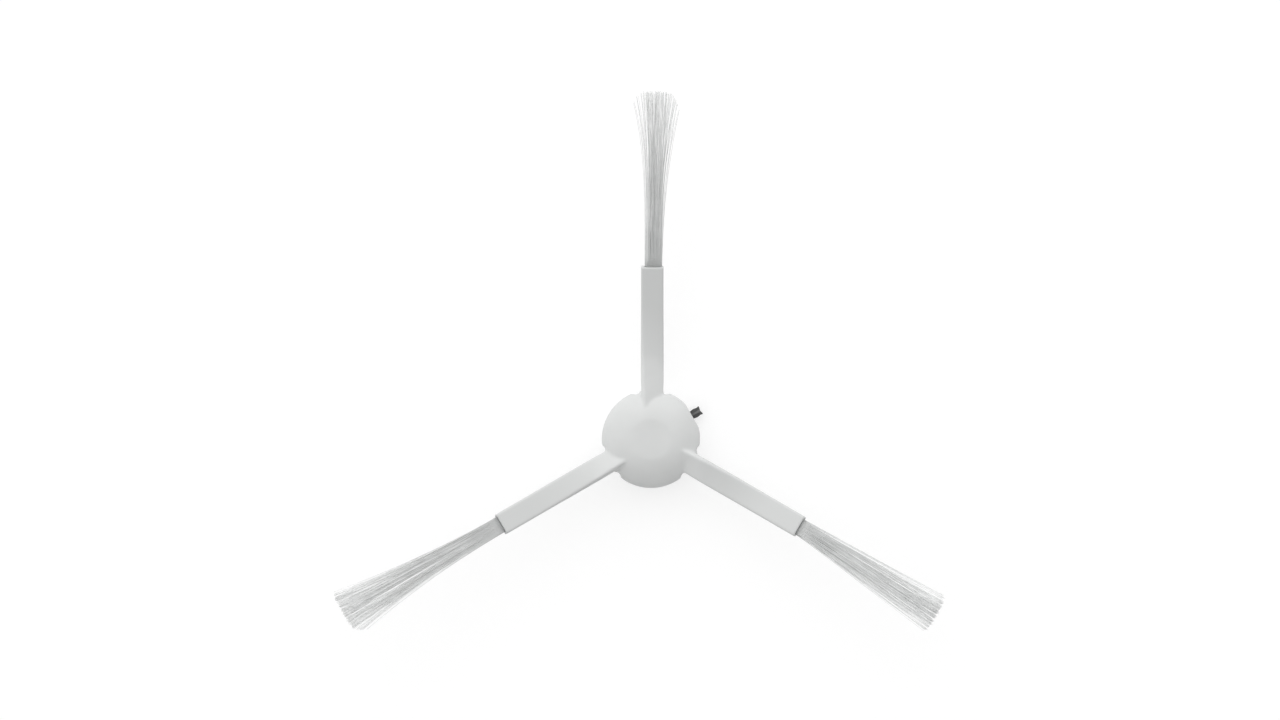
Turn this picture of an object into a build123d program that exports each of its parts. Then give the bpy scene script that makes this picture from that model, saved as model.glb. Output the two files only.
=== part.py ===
from build123d import *
import math
import os
import random

# Side brush of a robot vacuum: a soft hub with three twisted arms, a bristle tuft in each arm's end
# and a hard drive clip in the hollow robot side.
# Millimetres. +Z points out of the dome, the side that faces the floor in use. The origin is on the
# drive axis in the plane of the skirt's foot, where the drive socket opens.

# Hub
hub_radius = 11.4
cap_radius = 4.65  # flat round cap on top of the dome
cap_slope = 6.5  # slope at which the dome leaves the cap's edge
shoulder_radius = 3.3
shoulder_slope = 40.0  # slope at which the tight shoulder passes into the flatter crown
skirt_height = 5.2
skirt_draft = 0.6  # the skirt is narrower at its foot by this much in radius
lip_wall = 1.4
foot_bevel = 0.35
flat_depth = 0.45  # the rim is flattened by this much where the tongue comes out
relief_radius = 1.1  # round reliefs in the rim on both sides of every arm
relief_depth = 0.55
relief_angle = 17.5  # from the arm's middle to a relief's

# Arms
arm_angles = {"top": 90, "left": 210, "right": 330}
arm_width = 5.2
arm_thickness = 2.0
arm_edge_bevel = 0.35
arm_reach = 40.0  # radius of the arm's cut end
arm_start = 4.0  # the arms run into the dome as far as this radius
arm_height = 2.65  # root's centreline above the rim
arm_offset = 0.3  # centreline beside the drive axis
arm_pitch = 35.0  # tilt of the blade where it starts, with one edge raised towards the dome side
pitch_ease = 1.3
flat_radius = 32.0  # the twist has run out here
arm_droop = 17.0  # slope of the outer arm, towards the floor side
outer_arm = 15.8  # level reach of the drooping part
bend_radius = 48.0
arm_stations = 9

# Drive clip
drive_radius = 3.0
drive_depth = 6.4
key_count = 2
key_width = 1.5
key_depth = 0.8
boss_wall = 2.2
boss_floor = 1.0
recess_depth = 3.0
flange_thickness = 1.9
clip_clearance = 0.1

# Barbed tongue of the drive clip
tongue_angle = 30
tongue_width = 1.85
tongue_swell = 0.16  # swelling of each side between the rim and the neck
tongue_reach = 2.0  # beyond the hub's rim
tongue_thickness = 1.6
tongue_crown = 0.5  # fall of the tongue's top from its ridge to its sides
ridge_width = 0.35
barb_length = 0.55
barb_width = 0.15  # step at each side of the barbed head
fork_depth = 0.2  # notch in the tongue's end

# Tufts
socket_wall = 0.55  # arm wall at the narrow sides of a tuft's root
socket_skin = 0.45  # arm wall over a tuft's broad faces
socket_depth = 5.0
tuft_clearance = 0.03
strand_size = 0.23
strand_gap = 0.05
strand_spans = 2
flare_power = 2.3
tip_radius = {"top": 80.0, "left": 81.4, "right": 77.5}
tip_width = {"top": 10.2, "left": 10.4, "right": 8.4}
tip_lean = {"top": 0.9, "left": 0.0, "right": 2.0}  # sideways sweep, clockwise from the dome side
tip_thickness = 2.6
tip_scatter = 0.12  # uneven places of the tips
cut_scatter = 0.7  # uneven length of the strands

# Worked out from the sizes above
foot_radius = hub_radius - skirt_draft
recess_radius = foot_radius - lip_wall
boss_radius = drive_radius + boss_wall
boss_top = drive_depth + boss_floor
flange_bottom = recess_depth - flange_thickness
tongue_top = flange_bottom + tongue_thickness
flat_distance = hub_radius - flat_depth
bundle_width = arm_width - 2 * socket_wall
bundle_thickness = arm_thickness - 2 * socket_skin


def cylinder(radius, bottom, top):
    """A round solid on the drive axis between two heights."""
    return Pos(0, 0, bottom) * extrude(Circle(radius), top - bottom)


def dome():
    """The hub's outer form: tapered skirt, tight shoulder, flatter crown and flat cap."""
    rim = (hub_radius, skirt_height)
    skirt_lean = math.degrees(math.atan2(skirt_draft, skirt_height))
    shoulder = JernArc(rim, (skirt_draft, skirt_height), shoulder_radius, 90 + skirt_lean - shoulder_slope)
    slope_run = math.sin(math.radians(shoulder_slope)) - math.sin(math.radians(cap_slope))
    crown_radius = ((shoulder @ 1).X - cap_radius) / slope_run
    crown = JernArc(shoulder @ 1, shoulder % 1, crown_radius, shoulder_slope - cap_slope)
    cap_height = (crown @ 1).Y
    rest = Polyline((cap_radius, cap_height), (0, cap_height), (0, 0), (foot_radius, 0), rim)
    body = revolve(Plane.XZ * make_face(shoulder + crown + rest), Axis.Z)
    foot_edge = body.edges().group_by(Axis.Z)[0]
    return chamfer(foot_edge, foot_bevel)


def arm_path():
    """Centreline of an arm that points along +X: level at the root, then bent towards the floor side."""
    root_height = skirt_height + arm_height
    end_height = root_height + outer_arm * math.tan(math.radians(arm_droop))
    return FilletPolyline(
        (arm_start, -arm_offset, root_height),
        (arm_reach - outer_arm, -arm_offset, root_height),
        (arm_reach, -arm_offset, end_height),
        radius=bend_radius,
    )


def arm_section(path, place):
    """Where the arm's section lies at a place from 0 to 1 along it, turned by the twist left there."""
    centre = path @ place
    untwisted = Plane(centre, x_dir=(0, 1, 0), z_dir=path % place)
    twist_left = max(0, 1 - (centre.X - arm_start) / (flat_radius - arm_start))
    return untwisted.location * Rot(0, 0, arm_pitch * twist_left**pitch_ease)


def arm():
    """One twisted blade, with the socket for its tuft cut into the end."""
    path = arm_path()
    section = chamfer(Rectangle(arm_width, arm_thickness).vertices(), arm_edge_bevel)
    places = [step / (arm_stations - 1) for step in range(arm_stations)]
    blade = loft([arm_section(path, place) * section for place in places])
    socket = Rectangle(bundle_width + 2 * tuft_clearance, bundle_thickness + 2 * tuft_clearance)
    return blade - extrude(arm_section(path, 1) * socket, -socket_depth)


def hub_with_arms():
    """The soft moulding: dome and arms in one, hollow below for the clip and flat at its tongue."""
    blade = arm()
    relief_place = hub_radius - relief_depth + relief_radius
    relief = Pos(relief_place, 0, 0) * Cylinder(relief_radius, 4 * hub_radius)
    beside_arms = [angle + side for angle in arm_angles.values() for side in (-relief_angle, relief_angle)]
    hub = dome() - [Rot(0, 0, angle) * relief for angle in beside_arms]
    hub += [Rot(0, 0, angle) * blade for angle in arm_angles.values()]
    hub -= cylinder(recess_radius, 0, recess_depth)
    hub -= cylinder(boss_radius + clip_clearance, 0, boss_top + clip_clearance)
    notch_top = tongue_top + clip_clearance
    notch_width = tongue_width + 2 * clip_clearance
    notch = Pos(hub_radius / 2, 0, notch_top / 2) * Box(hub_radius, notch_width, notch_top)
    beyond_flat = Pos(flat_distance + hub_radius / 2, 0, 0) * Box(hub_radius, hub_radius, 4 * hub_radius)
    return hub - Rot(0, 0, tongue_angle) * (notch + beyond_flat)


def tongue():
    """The clip's tongue along +X: swelling sides, neck, barbed and forked end, crowned top."""
    half = tongue_width / 2
    inner = recess_radius - lip_wall
    tip = hub_radius + tongue_reach
    neck = tip - barb_length
    swell = (flat_distance + neck) / 2
    plan = Polyline(
        (inner, -half),
        (flat_distance, -half),
        (swell, -half - tongue_swell),
        (neck, -half),
        (tip - barb_width, -half - barb_width),
        (tip, -half),
        (tip - fork_depth, 0),
        (tip, half),
        (tip - barb_width, half + barb_width),
        (neck, half),
        (swell, half + tongue_swell),
        (flat_distance, half),
        (inner, half),
        close=True,
    )
    shoulder = tongue_top - tongue_crown
    side = half + max(tongue_swell, barb_width)
    crowned = Polyline(
        (-side, flange_bottom),
        (side, flange_bottom),
        (side, shoulder),
        (ridge_width / 2, tongue_top),
        (-ridge_width / 2, tongue_top),
        (-side, shoulder),
        close=True,
    )
    blank = extrude(Pos(0, 0, flange_bottom) * make_face(plan), tongue_thickness)
    bar = extrude(Plane.YZ * make_face(crowned), tip)
    return blank & bar


def drive_clip():
    """The hard insert: flange and boss in the hub's hollow, keyed drive socket and barbed tongue."""
    clip = cylinder(recess_radius - clip_clearance, flange_bottom, recess_depth)
    clip += cylinder(boss_radius, 0, boss_top)
    clip += Rot(0, 0, tongue_angle) * tongue()
    clip -= cylinder(drive_radius, 0, drive_depth)
    key = Pos(drive_radius, 0, drive_depth / 2) * Box(2 * key_depth, key_width, drive_depth)
    for turn in range(key_count):
        clip -= Rot(0, 0, turn * 360 / key_count) * key
    return clip


def strand(root, tip, lean, length):
    """One bristle with flat sides, from its place in the root to its place at the flared tip."""
    sections = []
    for step in range(strand_spans + 1):
        along = step / strand_spans
        flare = along**flare_power
        x = root[0] + (tip[0] - root[0]) * flare - lean * along
        y = root[1] + (tip[1] - root[1]) * flare
        sections.append(Pos(x, y, length * along) * Rectangle(strand_size, strand_size))
    return loft(sections, ruled=True)


def tuft(name):
    """A tuft in its arm: the fused root in the socket and the strands that flare from it."""
    chance = random.Random(name)
    pitch = strand_size + strand_gap
    columns = int((bundle_width - pitch / 2) / pitch)
    rows = int(bundle_thickness / pitch)
    spread_x = (tip_width[name] - strand_size) / (columns * pitch)
    spread_y = (tip_thickness - strand_size) / (rows * pitch)
    reach = (tip_radius[name] - arm_reach) / math.cos(math.radians(arm_droop))
    root = extrude(Rectangle(bundle_width, bundle_thickness), -socket_depth)
    strands = []
    for row in range(rows):
        stagger = (row % 2 - 0.5) / 2
        for column in range(columns):
            x = (column - (columns - 1) / 2 + stagger) * pitch
            y = (row - (rows - 1) / 2) * pitch
            tip_x = x * spread_x + chance.uniform(-tip_scatter, tip_scatter)
            tip_y = y * spread_y + chance.uniform(-tip_scatter, tip_scatter)
            length = reach - chance.uniform(0, cut_scatter)
            strands.append(strand((x, y), (tip_x, tip_y), tip_lean[name], length))
    end = arm_section(arm_path(), 1)
    return Rot(0, 0, arm_angles[name]) * end * root.fuse(*strands, glue=True)


pieces = {"hub_with_arms": hub_with_arms(), "drive_clip": drive_clip()}
for arm_name in arm_angles:
    pieces[f"bristle_tuft_{arm_name}"] = tuft(arm_name)

os.makedirs("parts", exist_ok=True)
for node, piece in pieces.items():
    export_step(piece, f"parts/{node}.step")
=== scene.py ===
import math
import random

import bpy
from mathutils import Matrix, Vector


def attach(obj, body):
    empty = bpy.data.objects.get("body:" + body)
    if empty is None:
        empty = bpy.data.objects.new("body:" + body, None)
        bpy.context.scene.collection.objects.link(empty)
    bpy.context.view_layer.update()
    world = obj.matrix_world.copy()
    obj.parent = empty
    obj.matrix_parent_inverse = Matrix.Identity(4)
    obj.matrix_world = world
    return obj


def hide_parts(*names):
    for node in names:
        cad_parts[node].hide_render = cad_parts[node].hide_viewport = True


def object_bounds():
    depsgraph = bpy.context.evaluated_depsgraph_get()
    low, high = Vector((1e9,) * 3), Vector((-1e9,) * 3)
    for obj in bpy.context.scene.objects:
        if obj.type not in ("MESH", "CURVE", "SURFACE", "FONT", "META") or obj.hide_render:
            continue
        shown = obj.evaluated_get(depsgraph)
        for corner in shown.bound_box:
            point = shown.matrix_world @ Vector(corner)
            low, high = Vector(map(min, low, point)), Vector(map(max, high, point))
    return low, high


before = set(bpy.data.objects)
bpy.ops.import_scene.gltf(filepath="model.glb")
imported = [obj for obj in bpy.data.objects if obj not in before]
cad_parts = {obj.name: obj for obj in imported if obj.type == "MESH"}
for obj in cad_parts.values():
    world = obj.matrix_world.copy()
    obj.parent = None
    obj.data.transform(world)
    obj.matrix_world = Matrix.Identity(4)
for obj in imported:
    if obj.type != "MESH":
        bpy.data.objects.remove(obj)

cad_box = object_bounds()

# Side brush of a robot vacuum, seen along its drive axis from the dome side.
# Sizes are millimetres and degrees in the part's own frame, and MM turns them into metres.
# An arm is made along +X and then turned round the drive axis, which is Z, to its own angle.
MM = 0.001

# The photograph
IMAGE_WIDTH = 1280
IMAGE_HEIGHT = 720
PIXELS_PER_MM = 4.325
HUB_PIXEL = (651.0, 439.2)  # where the drive axis meets the picture
CAMERA_HEIGHT = 2000.0
SENSOR_WIDTH = 36.0

# Hub
HUB_RADIUS = 11.4
CAP_RADIUS = 4.65
CAP_SLOPE = 6.5  # slope at which the dome leaves the flat cap
SHOULDER_RADIUS = 3.3
SHOULDER_SLOPE = 40.0  # slope at which the tight shoulder passes into the flatter crown
SKIRT_HEIGHT = 5.2
SKIRT_DRAFT = 0.6
FOOT_BEVEL = 0.35
RECESS_RADIUS = 9.4
RECESS_DEPTH = 3.0
POCKET_RADIUS = 5.3
POCKET_DEPTH = 7.5
TONGUE_ANGLE = 30.0
NOTCH_WIDTH = 2.05
NOTCH_HEIGHT = 2.8
FLAT_DISTANCE = 10.95  # the rim is flat at the tongue, this far from the drive axis
RELIEF_RADIUS = 1.1  # round reliefs in the rim on both sides of every arm
RELIEF_DEPTH = 0.55
RELIEF_ANGLE = 17.5
CUTTER_OVERLAP = 1.0  # how far the forms that cut the hub reach past it
ABOVE_HUB = 2 * HUB_RADIUS  # a height that clears the dome

# Arms
ARM_ANGLES = {"top": 90.0, "left": 210.0, "right": 330.0}
ARM_WIDTH = 5.2
ARM_THICKNESS = 2.0
ARM_EDGE = 0.4
ARM_REACH = 40.0
ARM_START = 4.0
ARM_HEIGHT = 2.65  # root's centreline above the rim
ARM_OFFSET = 0.3  # centreline beside the drive axis
ARM_PITCH = 35.0  # tilt of the blade where it starts
PITCH_EASE = 1.3
FLAT_RADIUS = 32.0  # the twist has run out here
ARM_DROOP = 17.0  # slope of the outer arm
OUTER_ARM = 15.8  # level reach of the drooping part
BEND_RADIUS = 48.0
SOCKET_WIDTH = 4.2
SOCKET_THICKNESS = 1.2
SOCKET_EDGE = 0.12
SOCKET_RECESS = 0.3

# Fineness of the moulding's mesh
TURN_STEPS = 240
ARC_STEPS = 24
RELIEF_STEPS = 32
ARM_STEPS = 90
CORNER_STEPS = 4
VOXEL = 0.22
SMOOTH_FACTOR = 0.5
SMOOTH_STEPS = 4
ROOT_SMOOTH_STEPS = 14
ROOT_RING = (6.0, 13.5)  # radii between which the arms flow into the dome
ROOT_RAMP = 0.5  # share of the way into that ring over which the flow sets in

# Tufts. Each has the radius of its tips and the number of filaments in a full row. Each of its sides,
# counter-clockwise and clockwise, has half widths at root and tip, the power of its flare, the share of
# it that has every row of filaments, and how much shorter its outermost filaments are cut.
TUFT_SHAPES = {
    "top": {
        "tip_radius": 80.0,
        "columns": 42,
        "ccw": {"root": 1.75, "tip": 4.80, "power": 3.4, "full": 0.66, "cut": 3.4},
        "cw": {"root": 2.30, "tip": 6.20, "power": 2.3, "full": 0.93, "cut": 4.2},
    },
    "left": {
        "tip_radius": 81.3,
        "columns": 61,
        "ccw": {"root": 1.95, "tip": 5.40, "power": 2.2, "full": 0.90, "cut": 2.8},
        "cw": {"root": 2.05, "tip": 5.85, "power": 2.0, "full": 0.94, "cut": 0.6},
    },
    "right": {
        "tip_radius": 77.1,
        "columns": 58,
        "ccw": {"root": 1.90, "tip": 2.90, "power": 1.0, "full": 0.76, "cut": 0.8},
        "cw": {"root": 2.10, "tip": 6.40, "power": 1.15, "full": 0.80, "cut": 0.6},
    },
}
CORNER_POWER = 5  # a high power keeps the cut straight until close to the sides
ROOT_HALF_THICKNESS = 0.5
TIP_HALF_THICKNESS = 1.0
THICKNESS_POWER = 1.5

# Filaments. Their places across a tuft and through its thickness run from -1 to 1.
FILAMENT_ROWS = 3
FILAMENT_RADIUS = 0.06
FILAMENT_SIDES = 5
FILAMENT_STEPS = 16
CLUMPS = 16
CLUMP_PULL = 0.09  # share of the way to its clump that a filament's tip is drawn
CLUMP_BOW = 0.04
BOW = 0.06
TIP_SCATTER = 0.08
LAYER_SCATTER = 0.16
TIP_CROWDING = 1.25  # how much denser the tips lie in the middle than at the sides
CUT_SCATTER = 0.4

# Finishes. Clouds drift between a finish's two tints, grain is fine relief, and the scales of both are
# in features a metre.
SOFT_WHITE = {
    "tints": ((0.675, 0.685, 0.68), (0.735, 0.745, 0.74)),
    "clouds": {"scale": 90, "detail": 3},
    "grain": {"scale": 2600, "detail": 2, "strength": 0.25, "depth": 0.03},
    "roughness": 0.55,
    "specular": 0.25,
}
DARK_PLASTIC = {
    "tints": ((0.05, 0.05, 0.05), (0.15, 0.15, 0.15)),
    "clouds": {"scale": 300, "detail": 3},
    "grain": {"scale": 4000, "detail": 2, "strength": 0.3, "depth": 0.02},
    "roughness": 0.42,
    "specular": 0.5,
}
NYLON = {
    "tints": ((0.83, 0.842, 0.838), (0.94, 0.95, 0.946)),
    "clouds": {"scale": 500, "detail": 2},
    "roughness": 0.5,
    "specular": 1.0,
}
NYLON_IOR = 1.7
TINT_RANGE = (0.3, 0.7)  # values of the clouds at which the two tints are reached

# Changes of a finish between two places, which are distances from the origin, or heights for the ridge.
# All but the opacity are added to the clouds, so the finish is darker where they are below 0.
RIDGE_HEIGHT = 2.7  # top of the tongue's ridge
# depth of the band below the ridge's top that carries the painted highlight
HIGHLIGHT_DEPTH = 0.08
# painted shade: the outer arms are coloured greyer than the hub
PAINTED_ARM_SHADE = {"places": (15.0, 29.0), "values": (0.1, -0.7)}
# painted highlight: the dark plastic is coloured paler along the top of the tongue's ridge
PAINTED_RIDGE_HIGHLIGHT = {"places": (RIDGE_HEIGHT - HIGHLIGHT_DEPTH, RIDGE_HEIGHT), "values": (-0.25, 0.25)}
# painted shade: the filaments are coloured greyer near their roots, where the arm's end shades them
PAINTED_ROOT_SHADE = {"places": (42.0, 54.0), "values": (-0.5, 0.1)}
OPACITY = {"places": (55.0, 82.0), "values": (0.62, 0.4)}

# Light and background
KEY_AZIMUTH = 108.0
KEY_ELEVATION = 32.0
KEY_DISTANCE = 1300.0
KEY_SIZE = (1200.0, 800.0)
KEY_POWER = 1.2
SKY_LIGHT = 0.86
SKY_LEAN = (-0.18, 0.60, 0)  # how the sky brightens towards the picture's top and left
FLOOR_SIZE = 8000.0
FLOOR_GAP = 0.02  # below the foot, so that foot and floor do not share a plane
FLOOR_BOUNCE = 0.9
FLOOR_SHADE = 0.4  # how much of the floor's look comes from the light on it, so how deep the shadow is
FLOOR_WHITE = 0.66


def mesh_object(name, points, faces):
    """An object from points in millimetres."""
    mesh = bpy.data.meshes.new(name)
    mesh.from_pydata([Vector(point) * MM for point in points], [], faces)
    mesh.update()
    made = bpy.data.objects.new(name, mesh)
    bpy.context.scene.collection.objects.link(made)
    return made


def settle(made):
    """Applies an object's modifiers to its mesh."""
    bpy.context.view_layer.update()
    shaped = made.evaluated_get(bpy.context.evaluated_depsgraph_get())
    mesh = bpy.data.meshes.new_from_object(shaped)
    made.modifiers.clear()
    made.data = mesh


def ring_faces(first, second, count):
    """Quads between two rings of points, given by the numbers of their first points."""
    faces = []
    for step in range(count):
        after = (step + 1) % count
        faces.append((first + step, first + after, second + after, second + step))
    return faces


def tube_faces(first, count, rings):
    """Faces of a closed tube of rings that follow each other, from the number of its first point."""
    faces = []
    for ring in range(rings - 1):
        start = first + ring * count
        faces += ring_faces(start, start + count, count)
    last = first + (rings - 1) * count
    faces.append(tuple(range(first + count - 1, first - 1, -1)))
    faces.append(tuple(range(last, last + count)))
    return faces


def arc(start, heading, radius, turn):
    """Points after start on an arc that leaves it at a heading and turns left."""
    centre = Vector(start) + radius * Vector((-math.sin(heading), math.cos(heading)))
    points = []
    for step in range(1, ARC_STEPS + 1):
        angle = heading + turn * step / ARC_STEPS
        points.append(tuple(centre + radius * Vector((math.sin(angle), -math.cos(angle)))))
    return points


def dome_profile():
    """Half section of the hub from its hollow round the foot to the cap, as radius and height."""
    foot = HUB_RADIUS - SKIRT_DRAFT
    lean = math.atan2(SKIRT_DRAFT, SKIRT_HEIGHT)
    shoulder_slope = math.radians(SHOULDER_SLOPE)
    cap_slope = math.radians(CAP_SLOPE)
    rim = (HUB_RADIUS, SKIRT_HEIGHT)
    shoulder = arc(rim, math.pi / 2 - lean, SHOULDER_RADIUS, math.pi / 2 + lean - shoulder_slope)
    crown_radius = (shoulder[-1][0] - CAP_RADIUS) / (math.sin(shoulder_slope) - math.sin(cap_slope))
    crown = arc(shoulder[-1], math.pi - shoulder_slope, crown_radius, shoulder_slope - cap_slope)
    hollow = [
        (0, POCKET_DEPTH),
        (POCKET_RADIUS, POCKET_DEPTH),
        (POCKET_RADIUS, RECESS_DEPTH),
        (RECESS_RADIUS, RECESS_DEPTH),
        (RECESS_RADIUS, 0),
        (foot - FOOT_BEVEL, 0),
        (foot + FOOT_BEVEL * math.tan(lean), FOOT_BEVEL),
    ]
    return hollow + [rim] + shoulder + crown + [(0, crown[-1][1])]


def turned_hub():
    """The hub, turned from its profile, with reliefs beside the arms and room for the tongue."""
    profile = dome_profile()
    points = [(0, 0, profile[0][1]), (0, 0, profile[-1][1])]
    for radius, height in profile[1:-1]:
        for step in range(TURN_STEPS):
            angle = 2 * math.pi * step / TURN_STEPS
            points.append((radius * math.cos(angle), radius * math.sin(angle), height))
    rings = [2 + TURN_STEPS * ring for ring in range(len(profile) - 2)]
    faces = []
    for first, second in zip(rings, rings[1:]):
        faces += ring_faces(first, second, TURN_STEPS)
    for step in range(TURN_STEPS):
        after = (step + 1) % TURN_STEPS
        faces.append((0, rings[0] + after, rings[0] + step))
        faces.append((1, rings[-1] + step, rings[-1] + after))
    hub = mesh_object("turned_hub", points, faces)
    carve(hub, block(RECESS_RADIUS - CUTTER_OVERLAP, NOTCH_WIDTH / 2, NOTCH_HEIGHT), TONGUE_ANGLE)
    carve(hub, block(FLAT_DISTANCE, HUB_RADIUS / 2, ABOVE_HUB), TONGUE_ANGLE)
    for angle in ARM_ANGLES.values():
        carve(hub, post(), angle - RELIEF_ANGLE)
        carve(hub, post(), angle + RELIEF_ANGLE)
    return hub


def block(inner, half_width, height):
    """A box on the +X side, from a distance outwards and from below the foot to a height."""
    corners = []
    for x in (inner, HUB_RADIUS + CUTTER_OVERLAP):
        for y in (-half_width, half_width):
            for z in (-CUTTER_OVERLAP, height):
                corners.append((x, y, z))
    sides = [(0, 1, 3, 2), (4, 6, 7, 5), (0, 4, 5, 1), (2, 3, 7, 6), (0, 2, 6, 4), (1, 5, 7, 3)]
    return mesh_object("block", corners, sides)


def post():
    """A round post on the +X side that stands in the rim where a relief goes."""
    place = HUB_RADIUS - RELIEF_DEPTH + RELIEF_RADIUS
    points = []
    for height in (-CUTTER_OVERLAP, ABOVE_HUB):
        for step in range(RELIEF_STEPS):
            angle = 2 * math.pi * step / RELIEF_STEPS
            x = place + RELIEF_RADIUS * math.cos(angle)
            points.append((x, RELIEF_RADIUS * math.sin(angle), height))
    return mesh_object("post", points, tube_faces(0, RELIEF_STEPS, 2))


def carve(hub, cutter, angle):
    """Cuts a form out of the hub, turned to an angle round the drive axis."""
    cutter.rotation_euler.z = math.radians(angle)
    cut = hub.modifiers.new("cut", "BOOLEAN")
    cut.object = cutter
    cut.operation = "DIFFERENCE"
    settle(hub)
    bpy.data.objects.remove(cutter)


def arm_centre(x):
    """Height of an arm's centreline above the rim, and its slope, at a place x along the arm."""
    droop = math.radians(ARM_DROOP)
    corner = ARM_REACH - OUTER_ARM
    tangent = BEND_RADIUS * math.tan(droop / 2)
    if x < corner - tangent:
        return ARM_HEIGHT, 0.0
    if x < corner + tangent * math.cos(droop):
        slope = math.asin((x - corner + tangent) / BEND_RADIUS)
        return ARM_HEIGHT + BEND_RADIUS * (1 - math.cos(slope)), slope
    return ARM_HEIGHT + (x - corner) * math.tan(droop), droop


def arm_frame(x):
    """The arm's section at x: its centre, and the directions across, up through it and along."""
    height, slope = arm_centre(x)
    across = Vector((0, 1, 0))
    up = Vector((-math.sin(slope), 0, math.cos(slope)))
    along = Vector((math.cos(slope), 0, math.sin(slope)))
    twist_left = max(0, 1 - (x - ARM_START) / (FLAT_RADIUS - ARM_START))
    twist = math.radians(ARM_PITCH) * twist_left**PITCH_EASE
    turned_across = across * math.cos(twist) + up * math.sin(twist)
    turned_up = up * math.cos(twist) - across * math.sin(twist)
    return Vector((x, -ARM_OFFSET, SKIRT_HEIGHT + height)), turned_across, turned_up, along


def rounded_section(width, thickness, edge):
    """Points round a rectangle with rounded corners."""
    points = []
    for quarter, (side, face) in enumerate(((1, 1), (-1, 1), (-1, -1), (1, -1))):
        for step in range(CORNER_STEPS + 1):
            angle = math.pi / 2 * (quarter + step / CORNER_STEPS)
            x = side * (width / 2 - edge) + edge * math.cos(angle)
            y = face * (thickness / 2 - edge) + edge * math.sin(angle)
            points.append((x, y))
    return points


def arm_mesh(angle):
    """Points and faces of one twisted arm, with the mouth of its tuft's socket."""
    turn = Matrix.Rotation(math.radians(angle), 3, "Z")
    outline = rounded_section(ARM_WIDTH, ARM_THICKNESS, ARM_EDGE)
    mouth = rounded_section(SOCKET_WIDTH, SOCKET_THICKNESS, SOCKET_EDGE)
    stations = []
    for step in range(ARM_STEPS + 1):
        stations.append((ARM_START + (ARM_REACH - ARM_START) * step / ARM_STEPS, 0, outline))
    stations.append((ARM_REACH, 0, mouth))
    stations.append((ARM_REACH, -SOCKET_RECESS, mouth))
    points = []
    for x, inset, section in stations:
        centre, across, up, along = arm_frame(x)
        for u, v in section:
            points.append(tuple(turn @ (centre + across * u + up * v + along * inset)))
    return points, tube_faces(0, len(outline), len(stations))


def hub_and_arms():
    """The turned hub and the arms that run into it, in one mesh."""
    hub = turned_hub()
    points = [tuple(vertex.co / MM) for vertex in hub.data.vertices]
    faces = [tuple(polygon.vertices) for polygon in hub.data.polygons]
    bpy.data.objects.remove(hub)
    for angle in ARM_ANGLES.values():
        arm_points, arm_faces = arm_mesh(angle)
        first = len(points)
        points += arm_points
        faces += [tuple(first + number for number in face) for face in arm_faces]
    return mesh_object("moulded_hub", points, faces)


def root_weight(place):
    """How much a point of the skin belongs to an arm's root: 1 where arm and dome meet."""
    radius = math.hypot(place.x, place.y)
    inner, outer = ROOT_RING
    middle = (inner + outer) / 2
    ring = 1 - abs(radius - middle) / (middle - inner)
    if ring <= 0 or place.z < SKIRT_HEIGHT:
        return 0
    return min(1, ring / ROOT_RAMP)


def smooth(skin, name, steps):
    """Adds a modifier that evens out a mesh."""
    modifier = skin.modifiers.new(name, "SMOOTH")
    modifier.factor = SMOOTH_FACTOR
    modifier.iterations = steps
    return modifier


def moulded_hub():
    """The soft moulding in one skin: its arms flow into the dome and every edge has a small radius."""
    skin = hub_and_arms()
    remesh = skin.modifiers.new("one_skin", "REMESH")
    remesh.mode = "VOXEL"
    remesh.voxel_size = VOXEL * MM
    settle(skin)
    roots = skin.vertex_groups.new(name="arm_roots")
    for vertex in skin.data.vertices:
        weight = root_weight(vertex.co / MM)
        if weight > 0:
            roots.add([vertex.index], weight, "REPLACE")
    flow = smooth(skin, "root_flow", ROOT_SMOOTH_STEPS)
    flow.vertex_group = roots.name
    smooth(skin, "edge_radius", SMOOTH_STEPS)
    settle(skin)
    for polygon in skin.data.polygons:
        polygon.use_smooth = True
    return skin


def centred(number, count):
    """Where the middle of one of some equal shares lies, from -1 to 1."""
    return 2 * (number + 0.5) / count - 1


def clamped(place):
    """A place that is kept between -1 and 1."""
    return max(-1, min(1, place))


def spread(edge, along):
    """Half width of a tuft on one side, at a place from 0 at the root to 1 at the tip."""
    return edge["root"] + (edge["tip"] - edge["root"]) * along ** edge["power"]


def edge_of(tuft, side):
    """The shape of the side on which a filament lies."""
    return tuft["ccw"] if side > 0 else tuft["cw"]


def nearest(clumps, side):
    """The clump that a filament leans towards."""
    return min(clumps, key=lambda clump: abs(clump["side"] - side))


def filament(tuft, side, layer, clump, chance):
    """Centre points of one filament in the arm's end frame: across, up and along."""
    tip_side = math.copysign(abs(side) ** TIP_CROWDING, side)
    tip_side += (clump["side"] - tip_side) * CLUMP_PULL + chance.gauss(0, TIP_SCATTER)
    tip_side = clamped(tip_side)
    tip_layer = clamped(layer + chance.gauss(0, LAYER_SCATTER))
    reach = (tuft["tip_radius"] - ARM_REACH) / math.cos(math.radians(ARM_DROOP))
    cut = edge_of(tuft, tip_side)["cut"] * abs(tip_side) ** CORNER_POWER
    length = reach - cut - chance.uniform(0, CUT_SCATTER)
    bow = clump["bow"] + chance.gauss(0, BOW)
    growth = TIP_HALF_THICKNESS - ROOT_HALF_THICKNESS
    points = []
    for step in range(FILAMENT_STEPS + 1):
        along = step / FILAMENT_STEPS
        shift = along * along
        place = side + (tip_side - side) * shift + bow * math.sin(math.pi * along)
        ccw = spread(tuft["ccw"], along)
        cw = spread(tuft["cw"], along)
        across = ccw * (1 + place) / 2 - cw * (1 - place) / 2
        half = ROOT_HALF_THICKNESS + growth * along**THICKNESS_POWER
        up = half * (layer + (tip_layer - layer) * shift)
        points.append((across, up, length * along - SOCKET_RECESS * (1 - along)))
    return points


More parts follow.
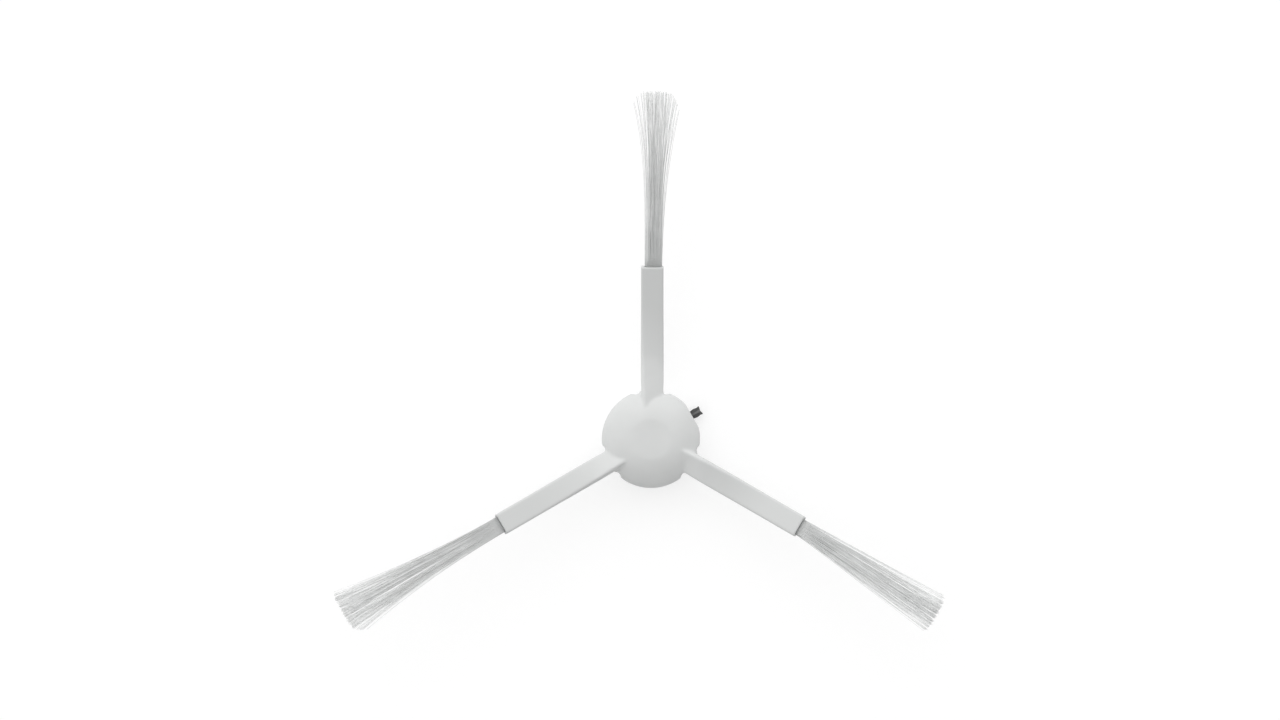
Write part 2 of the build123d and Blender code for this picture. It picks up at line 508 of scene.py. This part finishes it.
def tuft_paths(name):
    """Centre points of all filaments of a tuft, row by row, with only the middle row at its sides."""
    tuft = TUFT_SHAPES[name]
    columns = tuft["columns"]
    chance = random.Random(name)
    clumps = []
    for _ in range(CLUMPS):
        clumps.append({"side": chance.uniform(-1, 1), "bow": chance.gauss(0, CLUMP_BOW)})
    paths = []
    for row in range(FILAMENT_ROWS):
        layer = centred(row, FILAMENT_ROWS)
        stagger = (row % 2 - 0.5) / columns
        for column in range(columns):
            side = centred(column, columns) + stagger
            if layer == 0 or abs(side) <= edge_of(tuft, side)["full"]:
                paths.append(filament(tuft, side, layer, nearest(clumps, side), chance))
    return paths


def tuft_piece(name):
    """A tuft of fine filaments in the end of one arm."""
    centre, across, up, along = arm_frame(ARM_REACH)
    turn = Matrix.Rotation(math.radians(ARM_ANGLES[name]), 3, "Z")
    points = []
    faces = []
    for path in tuft_paths(name):
        faces += tube_faces(len(points), FILAMENT_SIDES, len(path))
        for u, v, w in path:
            for corner in range(FILAMENT_SIDES):
                angle = 2 * math.pi * corner / FILAMENT_SIDES
                x = u + FILAMENT_RADIUS * math.cos(angle)
                y = v + FILAMENT_RADIUS * math.sin(angle)
                points.append(tuple(turn @ (centre + across * x + up * y + along * w)))
    piece = mesh_object(f"filaments_{name}", points, faces)
    for polygon in piece.data.polygons:
        polygon.use_smooth = len(polygon.vertices) == 4
    return piece


def new_material(name, finish):
    """A material with its node tree and its shader, as rough and shiny as a finish says."""
    material = bpy.data.materials.new(name)
    material.use_nodes = True
    tree = material.node_tree
    shader = tree.nodes["Principled BSDF"]
    shader.inputs["Roughness"].default_value = finish["roughness"]
    shader.inputs["Specular IOR Level"].default_value = finish["specular"]
    return material, tree, shader


def object_place(tree):
    """The place of a point in the part's own frame."""
    return tree.nodes.new("ShaderNodeTexCoord").outputs["Object"]


def noise(tree, texture):
    """A noise texture in the part's own frame."""
    node = tree.nodes.new("ShaderNodeTexNoise")
    node.inputs["Scale"].default_value = texture["scale"]
    node.inputs["Detail"].default_value = texture["detail"]
    tree.links.new(object_place(tree), node.inputs["Vector"])
    return node.outputs["Fac"]


def changing(tree, place, change):
    """A value that changes between two places."""
    node = tree.nodes.new("ShaderNodeMapRange")
    first, second = change["places"]
    node.inputs["From Min"].default_value = first * MM
    node.inputs["From Max"].default_value = second * MM
    node.inputs["To Min"].default_value, node.inputs["To Max"].default_value = change["values"]
    tree.links.new(place, node.inputs["Value"])
    return node.outputs["Result"]


def by_reach(tree, change):
    """A value that changes with the distance from the part's origin."""
    reach = tree.nodes.new("ShaderNodeVectorMath")
    reach.operation = "LENGTH"
    tree.links.new(object_place(tree), reach.inputs[0])
    return changing(tree, reach.outputs["Value"], change)


def by_height(tree, change):
    """A value that changes with the height above the foot."""
    axes = tree.nodes.new("ShaderNodeSeparateXYZ")
    tree.links.new(object_place(tree), axes.inputs[0])
    return changing(tree, axes.outputs["Z"], change)


def tint(tree, shader, finish, shift):
    """Base colour that drifts between two tints with the clouds, shifted to one of them by place."""
    clouds = tree.nodes.new("ShaderNodeMath")
    clouds.operation = "ADD"
    tree.links.new(noise(tree, finish["clouds"]), clouds.inputs[0])
    tree.links.new(shift, clouds.inputs[1])
    ramp = tree.nodes.new("ShaderNodeValToRGB")
    for element, position, colour in zip(ramp.color_ramp.elements, TINT_RANGE, finish["tints"]):
        element.position = position
        element.color = (*colour, 1)
    tree.links.new(clouds.outputs[0], ramp.inputs["Fac"])
    tree.links.new(ramp.outputs["Color"], shader.inputs["Base Color"])


def grain(tree, shader, texture):
    """Fine relief of a moulded surface."""
    bump = tree.nodes.new("ShaderNodeBump")
    bump.inputs["Strength"].default_value = texture["strength"]
    bump.inputs["Distance"].default_value = texture["depth"] * MM
    tree.links.new(noise(tree, texture), bump.inputs["Height"])
    tree.links.new(bump.outputs["Normal"], shader.inputs["Normal"])


def soft_white():
    """Satin white soft plastic, with painted shade that makes the outer arms a little greyer than the
    hub.
    """
    material, tree, shader = new_material("soft_white_plastic", SOFT_WHITE)
    tint(tree, shader, SOFT_WHITE, by_reach(tree, PAINTED_ARM_SHADE))
    grain(tree, shader, SOFT_WHITE["grain"])
    return material


def dark_plastic():
    """Satin dark hard plastic, with a painted highlight along the top of the tongue's ridge."""
    material, tree, shader = new_material("dark_hard_plastic", DARK_PLASTIC)
    tint(tree, shader, DARK_PLASTIC, by_height(tree, PAINTED_RIDGE_HIGHLIGHT))
    grain(tree, shader, DARK_PLASTIC["grain"])
    return material


def nylon():
    """Satin nylon, with painted shade that makes it greyest near the roots at the arm's end, and more
    see-through towards the tips.
    """
    material, tree, shader = new_material("nylon_filament", NYLON)
    shader.inputs["IOR"].default_value = NYLON_IOR
    tint(tree, shader, NYLON, by_reach(tree, PAINTED_ROOT_SHADE))
    tree.links.new(by_reach(tree, OPACITY), shader.inputs["Alpha"])
    return material


def dress():
    """Pieces that stand for the solids, and the finish of every piece."""
    hub = moulded_hub()
    hub.data.materials.append(soft_white())
    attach(hub, "root")
    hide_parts("hub_with_arms")
    filament_finish = nylon()
    for name in ARM_ANGLES:
        tuft = tuft_piece(name)
        tuft.data.materials.append(filament_finish)
        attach(tuft, "root")
        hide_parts(f"bristle_tuft_{name}")
    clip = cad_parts["drive_clip"]
    clip.data.materials.clear()
    clip.data.materials.append(dark_plastic())


def grey(level):
    """A colour without a hue."""
    return (level, level, level, 1)


def seen_directly(tree):
    """1 for rays from the camera, and for reflections and refractions of what lies behind."""
    path = tree.nodes.new("ShaderNodeLightPath")
    seen = path.outputs["Is Camera Ray"]
    for kind in ("Is Glossy Ray", "Is Transmission Ray"):
        either = tree.nodes.new("ShaderNodeMath")
        either.operation = "MAXIMUM"
        tree.links.new(seen, either.inputs[0])
        tree.links.new(path.outputs[kind], either.inputs[1])
        seen = either.outputs[0]
    return seen


def show(tree, output, lighting, shown):
    """Ends a node tree in one shader that lights the part and another that is seen directly."""
    mix = tree.nodes.new("ShaderNodeMixShader")
    tree.links.new(seen_directly(tree), mix.inputs[0])
    tree.links.new(lighting.outputs[0], mix.inputs[1])
    tree.links.new(shown.outputs[0], mix.inputs[2])
    tree.links.new(mix.outputs[0], tree.nodes[output].inputs["Surface"])


def studio_world():
    """Light from all round that is brighter on one side, with a white background."""
    world = bpy.data.worlds.new("studio")
    world.use_nodes = True
    tree = world.node_tree
    light = tree.nodes["Background"]
    light.inputs["Color"].default_value = grey(1)
    where = tree.nodes.new("ShaderNodeTexCoord")
    lean = tree.nodes.new("ShaderNodeVectorMath")
    lean.operation = "DOT_PRODUCT"
    lean.inputs[1].default_value = SKY_LEAN
    tree.links.new(where.outputs["Generated"], lean.inputs[0])
    level = tree.nodes.new("ShaderNodeMath")
    level.operation = "ADD"
    level.inputs[1].default_value = SKY_LIGHT
    tree.links.new(lean.outputs["Value"], level.inputs[0])
    tree.links.new(level.outputs[0], light.inputs["Strength"])
    white = tree.nodes.new("ShaderNodeBackground")
    white.inputs["Color"].default_value = grey(1)
    white.inputs["Strength"].default_value = 1
    show(tree, "World Output", light, white)
    bpy.context.scene.world = world


def floor_material():
    """White floor that keeps a soft shadow."""
    material = bpy.data.materials.new("white_floor")
    material.use_nodes = True
    tree = material.node_tree
    tree.nodes.remove(tree.nodes["Principled BSDF"])
    bounce = tree.nodes.new("ShaderNodeBsdfDiffuse")
    bounce.inputs["Color"].default_value = grey(FLOOR_BOUNCE)
    shade = tree.nodes.new("ShaderNodeBsdfDiffuse")
    shade.inputs["Color"].default_value = grey(FLOOR_SHADE)
    white = tree.nodes.new("ShaderNodeEmission")
    white.inputs["Strength"].default_value = FLOOR_WHITE
    shaded_white = tree.nodes.new("ShaderNodeAddShader")
    tree.links.new(shade.outputs[0], shaded_white.inputs[0])
    tree.links.new(white.outputs[0], shaded_white.inputs[1])
    show(tree, "Material Output", bounce, shaded_white)
    return material


def add_floor():
    """A wide floor under the foot."""
    half = FLOOR_SIZE / 2
    height = cad_box[0].z / MM - FLOOR_GAP
    corners = [(x * half, y * half, height) for x, y in ((-1, -1), (1, -1), (1, 1), (-1, 1))]
    floor = mesh_object("floor", corners, [(0, 1, 2, 3)])
    floor.data.materials.append(floor_material())


def add_key_light():
    """One large soft lamp, beyond the top tuft."""
    key = bpy.data.lights.new("key", "AREA")
    key.shape = "RECTANGLE"
    key.size, key.size_y = [side * MM for side in KEY_SIZE]
    key.energy = KEY_POWER
    lamp = bpy.data.objects.new("key", key)
    azimuth = math.radians(KEY_AZIMUTH)
    elevation = math.radians(KEY_ELEVATION)
    level = math.cos(elevation)
    toward = Vector((level * math.cos(azimuth), level * math.sin(azimuth), math.sin(elevation)))
    lamp.location = toward * KEY_DISTANCE * MM
    lamp.rotation_euler = toward.to_track_quat("Z", "Y").to_euler()
    bpy.context.scene.collection.objects.link(lamp)


def add_camera():
    """The camera, straight above the middle of the picture."""
    camera = bpy.data.cameras.new("camera")
    camera.sensor_width = SENSOR_WIDTH
    camera.lens = SENSOR_WIDTH * CAMERA_HEIGHT * PIXELS_PER_MM / IMAGE_WIDTH
    viewer = bpy.data.objects.new("camera", camera)
    x = (IMAGE_WIDTH / 2 - HUB_PIXEL[0]) / PIXELS_PER_MM
    y = (HUB_PIXEL[1] - IMAGE_HEIGHT / 2) / PIXELS_PER_MM
    middle = (cad_box[0].z + cad_box[1].z) / 2
    viewer.location = (x * MM, y * MM, middle + CAMERA_HEIGHT * MM)
    bpy.context.scene.collection.objects.link(viewer)
    bpy.context.scene.camera = viewer


dress()
studio_world()
add_floor()
add_key_light()
add_camera()
bpy.context.scene.view_settings.view_transform = "Standard"
